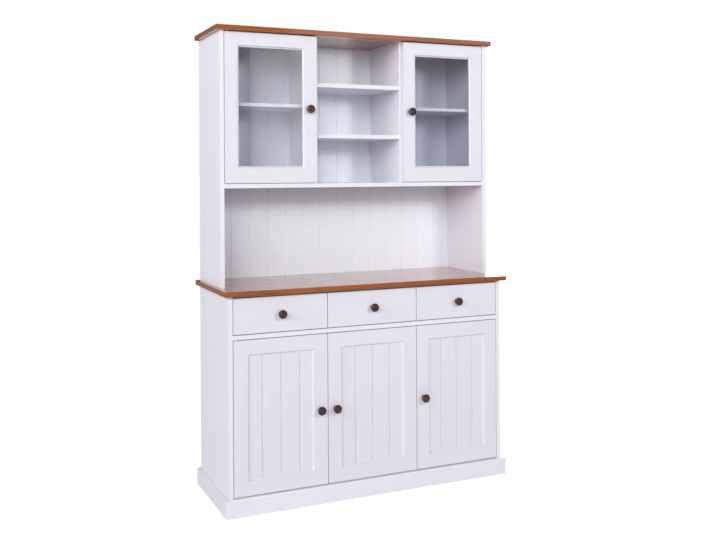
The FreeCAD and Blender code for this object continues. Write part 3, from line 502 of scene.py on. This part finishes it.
def make_finishes():
    """One material for each of the record's slots."""
    finish = bpy.context.scene.sideboard_finish
    satin = finish.paint_roughness
    MATERIALS.update({
        # A paint's depth is the strength of the painted shade in its grooves.
        "painted_front": painted_wood("Painted fronts", finish.front, satin,
                                      relief=0.10, depth=0.40),
        "painted_case": painted_wood("Painted boards", finish.paint, satin,
                                     relief=0.06, depth=0.25),
        # The boarding paint carries painted light, lighter and bluer than the case paint.
        "painted_boarding": painted_wood("Painted boarding", finish.boarding, satin,
                                         relief=0.10, depth=0.12),
        "stained_top": stained_wood("Stained top", finish.stain_light, finish.stain_middle,
                                    finish.stain_dark, roughness=0.30, coat=1.0),
        "knob_wood": turned_wood(finish),
        "glass": pane_glass(finish),
        "fitting_steel": plated_steel(finish),
        "catch_plastic": moulded_plastic(finish),
        "back_sheet": faced_sheet(finish),
        "hardwood": stained_wood("Plain beech", toned(finish.beech, 1.12), finish.beech,
                                 toned(finish.beech, 0.80), roughness=0.5, coat=0.0,
                                 grain_width=1.6),
        "drawer_wood": stained_wood("Plain pine", toned(finish.pine, 1.08), finish.pine,
                                    toned(finish.pine, 0.76), roughness=0.42, coat=0.15),
    })


# Meshes

def solids_apart(source):
    """A merged copy of a CAD mesh, in which solids that touch keep vertices of their own.

    The faces come solid by solid, so a solid is complete once none of its edges is open.
    """
    shape = bmesh.new()
    shape.from_mesh(source)
    doubles = bmesh.ops.find_doubles(shape, verts=shape.verts, dist=MERGE_DISTANCE)["targetmap"]
    merged = [doubles.get(vertex, vertex).index for vertex in shape.verts]
    shape.free()
    points, faces, known, open_edges, solid = [], [], {}, {}, 0
    for face in source.polygons:
        corners = [merged[index] for index in face.vertices]
        if len(set(corners)) < 3:
            continue
        for start, end in zip(corners, corners[1:] + corners[:1]):
            waiting = open_edges.get((end, start), 0)
            if waiting > 1:
                open_edges[(end, start)] = waiting - 1
            elif waiting == 1:
                del open_edges[(end, start)]
            else:
                open_edges[(start, end)] = open_edges.get((start, end), 0) + 1
        for corner in corners:
            if (solid, corner) not in known:
                known[(solid, corner)] = len(points)
                points.append(source.vertices[corner].co.copy())
        faces.append([known[(solid, corner)] for corner in corners])
        if not open_edges:
            solid += 1
    mesh = bpy.data.meshes.new(source.name + "_apart")
    mesh.from_pydata(points, [], faces)
    return mesh


def loose_parts(mesh):
    """For each vertex of a mesh, a number that all vertices of its solid share."""
    parent = list(range(len(mesh.vertices)))

    def root(index):
        while parent[index] != index:
            parent[index] = parent[parent[index]]
            index = parent[index]
        return index

    for edge in mesh.edges:
        first, second = root(edge.vertices[0]), root(edge.vertices[1])
        if first != second:
            parent[first] = second
    return [root(index) for index in range(len(mesh.vertices))]


def solid_boxes(mesh, label):
    """Low and high corners of each solid in a mesh, by its number."""
    corners = {}
    for number, vertex in zip(label, mesh.vertices):
        low, high = corners.setdefault(number, (vertex.co.copy(), vertex.co.copy()))
        for axis in range(3):
            low[axis] = min(low[axis], vertex.co[axis])
            high[axis] = max(high[axis], vertex.co[axis])
    return corners


def lay_grain(mesh, seed):
    """Lay a UV map in metres, with U along the longest side of each solid."""
    label = loose_parts(mesh)
    chance = random.Random(seed)
    along, offset = {}, {}
    for number, (low, high) in sorted(solid_boxes(mesh, label).items()):
        along[number] = max(range(3), key=lambda axis: high[axis] - low[axis])
        offset[number] = (chance.uniform(0.0, GRAIN_SHIFT), chance.uniform(0.0, GRAIN_SHIFT))
    layer = mesh.uv_layers.get("Grain") or mesh.uv_layers.new(name="Grain")
    for face in mesh.polygons:
        number = label[face.vertices[0]]
        long_axis = along[number]
        facing = max(range(3), key=lambda axis: abs(face.normal[axis]))
        others = [axis for axis in range(3) if axis not in (long_axis, facing)]
        if facing == long_axis:
            u_axis, v_axis = others[0], others[-1]
        else:
            u_axis, v_axis = long_axis, others[0]
        shift_u, shift_v = offset[number]
        for loop in face.loop_indices:
            point = mesh.vertices[mesh.loops[loop].vertex_index].co
            layer.data[loop].uv = (point[u_axis] + shift_u, point[v_axis] + shift_v)
    mesh.uv_layers.active = layer


def link(name, data):
    """A new object in the scene."""
    item = bpy.data.objects.new(name, data)
    bpy.context.scene.collection.objects.link(item)
    return item


def baked(piece):
    """Turn an object's modifiers into a plain mesh."""
    bpy.context.view_layer.update()
    graph = bpy.context.evaluated_depsgraph_get()
    mesh = bpy.data.meshes.new_from_object(piece.evaluated_get(graph), depsgraph=graph)
    piece.modifiers.clear()
    piece.data = mesh


def finished(piece, slot_name, body, replaced=()):
    """Give a piece its finish, and put it on its body."""
    piece.data.materials.clear()
    piece.data.materials.append(MATERIALS[slot_name])
    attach(piece, body)
    if replaced:
        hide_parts(*replaced)


def mark_groove_shade(mesh):
    """Mark the points of hollow edges, such as groove bottoms, with 1 in the painted shade mask."""
    shape = bmesh.new()
    shape.from_mesh(mesh)
    values = [0.0] * len(shape.verts)
    for edge in shape.edges:
        if edge.is_manifold and edge.calc_face_angle_signed() < -HOLLOW_ANGLE:
            for vertex in edge.verts:
                values[vertex.index] = 1.0
    shape.free()
    mesh.attributes.new("Hollow", "FLOAT", "POINT").data.foreach_set("value", values)


def eased_copy(node_name, width, seed):
    """A copy of a CAD piece with softened arrises and a grain map."""
    mesh = solids_apart(frame["nodes"][node_name].data)
    shape = bmesh.new()
    shape.from_mesh(mesh)
    bmesh.ops.dissolve_limit(shape, angle_limit=FLAT_ANGLE, verts=shape.verts, edges=shape.edges)
    for face in shape.faces:
        face.smooth = True
    shape.to_mesh(mesh)
    shape.free()
    piece = link(node_name + "_eased", mesh)
    bevel = piece.modifiers.new("Arris", "BEVEL")
    bevel.width = width
    bevel.segments = ARRIS_STEPS
    bevel.limit_method = "ANGLE"
    bevel.angle_limit = ARRIS_ANGLE
    evened = piece.modifiers.new("Normals", "WEIGHTED_NORMAL")
    evened.weight = FULL_WEIGHT
    evened.keep_sharp = True
    baked(piece)
    lay_grain(piece.data, seed)
    mark_groove_shade(piece.data)
    return piece


def circle(radius, steps):
    """Points around a circle."""
    turns = [math.tau * step / steps for step in range(steps)]
    return [(radius * math.cos(turn), radius * math.sin(turn)) for turn in turns]


def skin(shape, first, second):
    """Join two rings of vertices with faces. A ring may be a single vertex."""
    steps = max(len(first), len(second))
    for step in range(steps):
        follow = (step + 1) % steps
        if len(first) == 1:
            shape.faces.new((first[0], second[step], second[follow]))
        elif len(second) == 1:
            shape.faces.new((first[follow], first[step], second[0]))
        else:
            shape.faces.new((first[step], second[step], second[follow], first[follow]))


def closed_piece(name, shape, crease):
    """An object from a closed shape, with its faces outwards and its creases sharp."""
    bmesh.ops.recalc_face_normals(shape, faces=shape.faces)
    mesh = bpy.data.meshes.new(name)
    shape.to_mesh(mesh)
    shape.free()
    mesh.set_sharp_from_angle(angle=crease)
    return link(name, mesh)


# Operators, each after what only it uses

class SIDEBOARD_OT_finishes(bpy.types.Operator):
    """Make the finishes and give them to every piece of the model"""
    bl_idname = "sideboard.finishes"
    bl_label = "Finishes"

    def execute(self, context):
        make_finishes()
        for name, piece in frame["nodes"].items():
            for holder in piece.material_slots:
                holder.material = MATERIALS[NODE_SLOT[name]]
        return {"FINISHED"}


def arris_width(name, edges):
    """The rounding that suits a wooden piece."""
    if name.endswith("_panel"):
        return edges.thin
    if name.endswith("_frame"):
        return edges.frame
    return edges.front if NODE_SLOT[name] == "painted_front" else edges.board


class SIDEBOARD_OT_boards(bpy.types.Operator):
    """Soften the arrises of the boards, fronts, frames and panels"""
    bl_idname = "sideboard.boards"
    bl_label = "Boards and fronts"

    def execute(self, context):
        inset = context.scene.sideboard_fixings.back_inset
        for seed, name in enumerate(sorted(frame["nodes"])):
            if NODE_SLOT[name] not in WOODEN_SLOTS:
                continue
            width = arris_width(name, context.scene.sideboard_edges)
            piece = eased_copy(name, width, seed)
            if name in BACKS:
                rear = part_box(name)[1].y - 2 * width
                for vertex in piece.data.vertices:
                    if vertex.co.y > rear:
                        vertex.co.y -= inset
            finished(piece, NODE_SLOT[name], NODE_BODY[name], [name])
        return {"FINISHED"}


class SIDEBOARD_OT_glass(bpy.types.Operator):
    """Seam the edges of the two panes"""
    bl_idname = "sideboard.glass"
    bl_label = "Glass"

    def execute(self, context):
        for name in PANES:
            piece = eased_copy(name, context.scene.sideboard_edges.thin, 0)
            finished(piece, "glass", NODE_BODY[name], [name])
        return {"FINISHED"}


def arc(part, steps):
    """Points along one arc of an outline."""
    (centre_x, centre_y), radius, (start, end) = part
    turns = [math.radians(start + (end - start) * step / steps) for step in range(steps + 1)]
    return [(centre_x + radius * math.cos(turn), centre_y + radius * math.sin(turn))
            for turn in turns]


def knob_outline(reach, radius, steps):
    """Half outline of a turned knob, from its foot to the middle of its face."""
    unit = radius / DRAWN_RADIUS
    dome = ((0.0, reach / unit - DOME_RADIUS), DOME_RADIUS, DOME_ANGLES)
    outline = FOOT + arc(FOOT_ROLL, steps) + arc(FOOT_GROOVE, steps) + NECK + arc(FLARE, steps)
    outline += arc(RIM, 2 * steps) + arc(RING_GROOVE, steps) + arc(RING, steps)
    outline += arc(dome, 2 * steps)
    return [(max(0.0, x * unit), min(y * unit, reach)) for x, y in outline]


def lathe(name, centre, face_y, outline, steps):
    """A closed turned shape whose axis points out of a front, towards -Y."""
    shape = bmesh.new()
    rings = []
    for radius, depth in outline:
        spots = circle(radius, steps) if radius > MERGE_DISTANCE else [(0.0, 0.0)]
        rings.append([shape.verts.new((centre[0] + x, face_y - depth, centre[1] + z))
                      for x, z in spots])
    for first, second in zip(rings, rings[1:]):
        skin(shape, first, second)
    bmesh.ops.remove_doubles(shape, verts=shape.verts, dist=MERGE_DISTANCE)
    for face in shape.faces:
        face.smooth = True
    return closed_piece(name, shape, KNOB_CREASE)


class SIDEBOARD_OT_knobs(bpy.types.Operator):
    """Turn the eight knobs, with a waisted neck and a ringed, domed face"""
    bl_idname = "sideboard.knobs"
    bl_label = "Turned knobs"

    def execute(self, context):
        knobs = context.scene.sideboard_knobs
        for owner in DRAWERS + DOORS:
            low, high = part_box(owner + "_knob")
            middle = (low + high) / 2
            outline = knob_outline(high.y - low.y, (high.z - low.z) / 2, knobs.arc_steps)
            piece = lathe(owner + "_knob_turned", (middle.x, middle.z), high.y, outline,
                          knobs.steps)
            finished(piece, "knob_wood", owner, [owner + "_knob"])
        return {"FINISHED"}


def screw_head(name, recess):
    """A round head of unit radius on z = 0, with a share of its cross recess's full depth."""
    shape = bmesh.new()
    rings = [[shape.verts.new((x, y, height)) for x, y in circle(radius, HEAD_STEPS)]
             for radius, height in HEAD_RINGS]

    def sunk(x, y, point):
        radius, height = point
        return shape.verts.new((radius * x, radius * y,
                                HEAD_HEIGHT - recess * (HEAD_HEIGHT - height)))

    quarter = HEAD_STEPS // 4
    arm_steps = (0, 1, quarter - 1)
    rings.append([sunk(x, y, CROSS_ARM if step % quarter in arm_steps else CROSS_CORNER)
                  for step, (x, y) in enumerate(circle(1.0, HEAD_STEPS))])
    rings.append([sunk(1.0, 0.0, CROSS_FLOOR)])
    shape.faces.new(rings[0])
    for first, second in zip(rings, rings[1:]):
        skin(shape, first, second)
    return closed_piece(name, shape, HEAD_CREASE)


def heads_tree(name, head, material):
    """Geometry nodes that set one head on every point, along the point's "facing"."""
    tree = bpy.data.node_groups.new(name, "GeometryNodeTree")
    tree.interface.new_socket("Points", in_out="INPUT", socket_type="NodeSocketGeometry")
    size = tree.interface.new_socket("Head radius", in_out="INPUT", socket_type="NodeSocketFloat")
    seed = tree.interface.new_socket("Seed", in_out="INPUT", socket_type="NodeSocketInt")
    tree.interface.new_socket("Heads", in_out="OUTPUT", socket_type="NodeSocketGeometry")
    source = tree.nodes.new("NodeGroupInput")
    target = tree.nodes.new("NodeGroupOutput")
    shape = tree.nodes.new("GeometryNodeObjectInfo")
    shape.inputs["Object"].default_value = head
    facing = tree.nodes.new("GeometryNodeInputNamedAttribute")
    facing.data_type = "FLOAT_VECTOR"
    facing.inputs["Name"].default_value = "facing"
    align = tree.nodes.new("FunctionNodeAlignRotationToVector")
    align.axis = "Z"
    chance = tree.nodes.new("FunctionNodeRandomValue")
    chance.data_type = "FLOAT"
    chance.inputs[RANDOM_LOW].default_value = 0.0
    chance.inputs[RANDOM_HIGH].default_value = math.pi
    spin = tree.nodes.new("ShaderNodeCombineXYZ")
    turn = tree.nodes.new("FunctionNodeRotateRotation")
    turn.rotation_space = "LOCAL"
    place = tree.nodes.new("GeometryNodeInstanceOnPoints")
    real = tree.nodes.new("GeometryNodeRealizeInstances")
    finish = tree.nodes.new("GeometryNodeSetMaterial")
    finish.inputs["Material"].default_value = material
    join = tree.links.new
    join(source.outputs["Points"], place.inputs["Points"])
    join(shape.outputs["Geometry"], place.inputs["Instance"])
    join(facing.outputs["Attribute"], align.inputs["Vector"])
    join(source.outputs["Seed"], chance.inputs["Seed"])
    join(chance.outputs[RANDOM_RESULT], spin.inputs["Z"])
    join(align.outputs["Rotation"], turn.inputs["Rotation"])
    join(spin.outputs["Vector"], turn.inputs["Rotate By"])
    join(turn.outputs["Rotation"], place.inputs["Rotation"])
    join(source.outputs["Head radius"], place.inputs["Scale"])
    join(place.outputs["Instances"], real.inputs["Geometry"])
    join(real.outputs["Geometry"], finish.inputs["Geometry"])
    join(finish.outputs["Geometry"], target.inputs["Heads"])
    return tree, size.identifier, seed.identifier


def set_heads(name, body, points, radius, head, seed):
    """One mesh of screw or nail heads at (place, direction) points of one body."""
    mesh = bpy.data.meshes.new(name)
    mesh.from_pydata([place for place, _ in points], [], [])
    facing = mesh.attributes.new("facing", "FLOAT_VECTOR", "POINT")
    for item, (_, direction) in zip(facing.data, points):
        item.vector = direction
    piece = link(name, mesh)
    tree, size_key, seed_key = heads_tree(name + "_tree", head, MATERIALS["fitting_steel"])
    modifier = piece.modifiers.new("Heads", "NODES")
    modifier.node_group = tree
    modifier[size_key] = radius
    modifier[seed_key] = seed
    baked(piece)
    finished(piece, "fitting_steel", body)


def boxes_of(node_name):
    """Low and high corners of each solid of a CAD node."""
    mesh = solids_apart(frame["nodes"][node_name].data)
    corners = solid_boxes(mesh, loose_parts(mesh))
    bpy.data.meshes.remove(mesh)
    return list(corners.values())


def strike_box(owner):
    """The strike plate is the fitting that stands furthest back."""
    return max(boxes_of(owner + "_fittings"), key=lambda corners: corners[1].y)


def catch_box(strike):
    """The catch nearest to a strike plate."""
    middle = (strike[0] + strike[1]) / 2
    return min(boxes_of("magnetic_catches"),
               key=lambda corners: ((corners[0] + corners[1]) / 2 - middle).length)


class SIDEBOARD_OT_screws(bpy.types.Operator):
    """Set the screws of the knobs, catches and strike plates"""
    bl_idname = "sideboard.screws"
    bl_label = "Screws"

    def execute(self, context):
        sizes = context.scene.sideboard_fixings
        head = screw_head("Screw head", 1.0)
        for seed, owner in enumerate(DRAWERS + DOORS):
            low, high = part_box(owner + "_knob")
            front = owner + ("_front" if owner in DRAWERS else "_frame")
            place = ((low.x + high.x) / 2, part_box(front)[1].y, (low.z + high.z) / 2)
            set_heads(owner + "_knob_screw", owner, [(place, BACKWARDS)], sizes.knob_screw, head,
                      seed)
        catch_points = []
        for seed, owner in enumerate(DOORS, STRIKE_SEED):
            strike = strike_box(owner)
            low, high = strike
            height = (low.z + high.z) / 2 - STRIKE_DROP
            places = [(low.x + (high.x - low.x) * part, high.y, height) for part in STRIKE_SHARES]
            set_heads(owner + "_strike_screws", owner, [(place, BACKWARDS) for place in places],
                      sizes.strike_screw, head, seed)
            low, high = catch_box(strike)
            depth = (low.y + high.y) / 2
            places = [(low.x + (high.x - low.x) * part, depth, low.z) for part in CATCH_SHARES]
            catch_points += [(place, DOWNWARDS) for place in places]
        set_heads("catch_screws", "cabinet", catch_points, sizes.catch_screw, head, CATCH_SEED)
        bpy.data.objects.remove(head)
        return {"FINISHED"}


def nail_places(name, sizes):
    """Where a back's nails stand in X and Z: along its foot and top, then up its sides."""
    low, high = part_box(name)
    left, right = low.x + sizes.nail_margin, high.x - sizes.nail_margin
    foot, top = low.z + 2 * sizes.nail_margin, high.z - 2 * sizes.nail_margin
    across = round((right - left) / sizes.nail_spacing)
    up = round((top - foot) / sizes.nail_spacing)
    places = [(left + (right - left) * (step / across), z)
              for step in range(across + 1) for z in (foot, top)]
    places += [(x, foot + (top - foot) * (step / up))
               for step in range(1, up) for x in (left, right)]
    return places


class SIDEBOARD_OT_nails(bpy.types.Operator):
    """Nail the back sheet and the grooved back along their edges"""
    bl_idname = "sideboard.nails"
    bl_label = "Back nails"

    def execute(self, context):
        sizes = context.scene.sideboard_fixings
        head = screw_head("Nail head", 0.0)
        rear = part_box(BACKS[0])[1].y - sizes.back_inset
        base = rear - NAIL_SUNK * HEAD_HEIGHT * sizes.nail
        points = [((x, base, z), BACKWARDS) for name in BACKS for x, z in nail_places(name, sizes)]
        set_heads("back_nails", "cabinet", points, sizes.nail, head, NAIL_SEED)
        bpy.data.objects.remove(head)
        return {"FINISHED"}


def studio_floor(stage):
    """A pale surface that shows near white to the camera and keeps the shadows on it."""
    tree = material_tree("Studio floor")
    lit = tree.add("ShaderNodeBsdfPrincipled",
                   {"Base Color": (*stage.floor, 1.0), "Roughness": FLOOR_ROUGHNESS})
    glow = tree.add("ShaderNodeEmission", {"Color": WHITE, "Strength": FLOOR_GLOW})
    tree.mixed(tree.seen(FLOOR_SHOWN), lit, glow)
    return tree.owner


def studio_room(stage):
    """A weak even light, which shows as white to the camera."""
    tree = Tree(bpy.data.worlds.new("Studio"), "ShaderNodeOutputWorld")
    even = tree.add("ShaderNodeBackground",
                    {"Color": (*stage.room_colour, 1.0), "Strength": stage.room_light})
    shown = tree.add("ShaderNodeBackground", {"Color": WHITE, "Strength": 1.0})
    tree.mixed(tree.seen(), even, shown)
    return tree.owner


class SIDEBOARD_OT_stage(bpy.types.Operator):
    """Set the pale floor, the soft lights and the camera"""
    bl_idname = "sideboard.stage"
    bl_label = "Studio"

    def execute(self, context):
        scene = context.scene
        stage = scene.sideboard_stage
        mesh = bpy.data.meshes.new("floor")
        corners = [(x * FLOOR_REACH, y * FLOOR_REACH, 0.0)
                   for x, y in ((-1, -1), (1, -1), (1, 1), (-1, 1))]
        mesh.from_pydata(corners, [], [(0, 1, 2, 3)])
        mesh.materials.append(studio_floor(stage))
        link("floor", mesh)
        scene.world = studio_room(stage)
        for name, place, aim, size, reflected in LAMPS:
            data = bpy.data.lights.new(name, "AREA")
            data.shape = "RECTANGLE"
            data.size, data.size_y = size
            data.energy = getattr(stage, name.lower() + "_light")
            lamp = link(name, data)
            lamp.location = place
            lamp.rotation_euler = (Vector(aim) - Vector(place)).to_track_quat("-Z", "Y").to_euler()
            lamp.visible_glossy = reflected
        data = bpy.data.cameras.new("Camera")
        data.lens = stage.focal_length
        data.sensor_width = SENSOR_WIDTH
        data.shift_y = -stage.rise
        data.clip_end = VIEW_RANGE
        camera = link("Camera", data)
        turn = (Matrix.Rotation(-stage.heading, 4, "Z") @ Matrix.Rotation(math.pi / 2, 4, "X")
                @ Matrix.Rotation(-stage.tilt, 4, "Z"))
        camera.matrix_world = Matrix.Translation(Vector(stage.position)) @ turn
        scene.camera = camera
        scene.view_settings.view_transform = "Standard"
        return {"FINISHED"}


# Panel and registration

class SIDEBOARD_PT_panel(bpy.types.Panel):
    """Sizes, colours and steps of the sideboard"""
    bl_idname = "SIDEBOARD_PT_panel"
    bl_label = "Sideboard"
    bl_space_type = "VIEW_3D"
    bl_region_type = "UI"
    bl_category = "Sideboard"

    def draw(self, context):
        layout = self.layout
        for group_name in GROUPS:
            group = getattr(context.scene, group_name)
            box = layout.box()
            for name in group.__annotations__:
                box.prop(group, name)
        for step in STEPS:
            layout.operator("sideboard." + step)


STEPS = ("finishes", "boards", "glass", "knobs", "screws", "nails", "stage")
GROUPS = {
    "sideboard_finish": FinishSettings,
    "sideboard_edges": EdgeSettings,
    "sideboard_knobs": KnobSettings,
    "sideboard_fixings": FixingSettings,
    "sideboard_stage": StageSettings,
}
CLASSES = (
    FinishSettings, EdgeSettings, KnobSettings, FixingSettings, StageSettings,
    SIDEBOARD_OT_finishes, SIDEBOARD_OT_boards, SIDEBOARD_OT_glass, SIDEBOARD_OT_knobs,
    SIDEBOARD_OT_screws, SIDEBOARD_OT_nails, SIDEBOARD_OT_stage, SIDEBOARD_PT_panel,
)


def register():
    for item in CLASSES:
        bpy.utils.register_class(item)
    for name, group in GROUPS.items():
        setattr(bpy.types.Scene, name, PointerProperty(type=group))


def unregister():
    for name in GROUPS:
        delattr(bpy.types.Scene, name)
    for item in reversed(CLASSES):
        bpy.utils.unregister_class(item)


def main():
    register()
    for step in STEPS:
        getattr(bpy.ops.sideboard, step)()


if __name__ == "__main__":
    main()
